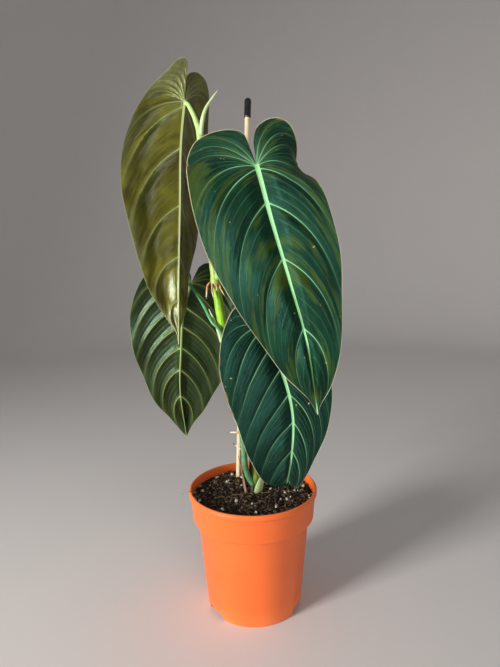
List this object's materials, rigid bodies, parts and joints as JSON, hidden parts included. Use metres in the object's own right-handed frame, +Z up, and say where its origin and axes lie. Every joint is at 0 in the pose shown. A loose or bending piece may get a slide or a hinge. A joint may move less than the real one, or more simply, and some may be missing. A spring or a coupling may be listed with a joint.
{
  "type": "potted philodendron",
  "caption": "Potted climbing plant with long heart-shaped veined leaves that hang from stalks on one stem, beside a capped stake in a round nursery pot of potting mix.",
  "frame": {"origin": "centre of the pot's base, at the height it stands on", "axes": "+Z up along the pot's axis, -Y towards the side that the two upper leaf faces look to, +X to the right seen from there"},
  "size_m": [0.184, 0.1525, 0.4973],
  "materials": {
    "pot_plastic": "satin",
    "mix": "matte",
    "bamboo": "satin",
    "cap_plastic": "gloss",
    "stem_green": "satin",
    "stalk_green": "satin",
    "stalk_blue_green": "satin",
    "leaf_velvet": "matte",
    "leaf_bronze": "satin",
    "leaf_olive": "satin",
    "sheath_pale": "satin",
    "sheath_dry": "matte"
  },
  "bodies": {
    "root": {"pot": "pot_plastic", "potting_mix": "mix", "stake": "bamboo", "stake_cap": "cap_plastic", "stem": "stem_green", "petiole_front": "stalk_green", "leaf_front": "leaf_velvet", "petiole_lower_right": "stalk_green", "leaf_lower_right": "leaf_velvet", "petiole_upper_left": "stalk_green", "leaf_upper_left": "leaf_bronze", "petiole_lower_left": "stalk_blue_green", "leaf_lower_left": "leaf_olive", "new_leaf_sheath": "sheath_pale", "middle_cataphyll": "sheath_pale", "basal_cataphyll": "sheath_pale", "dry_sheath_right": "sheath_dry", "dry_sheath_left": "sheath_dry"}
  },
  "joints": []
}
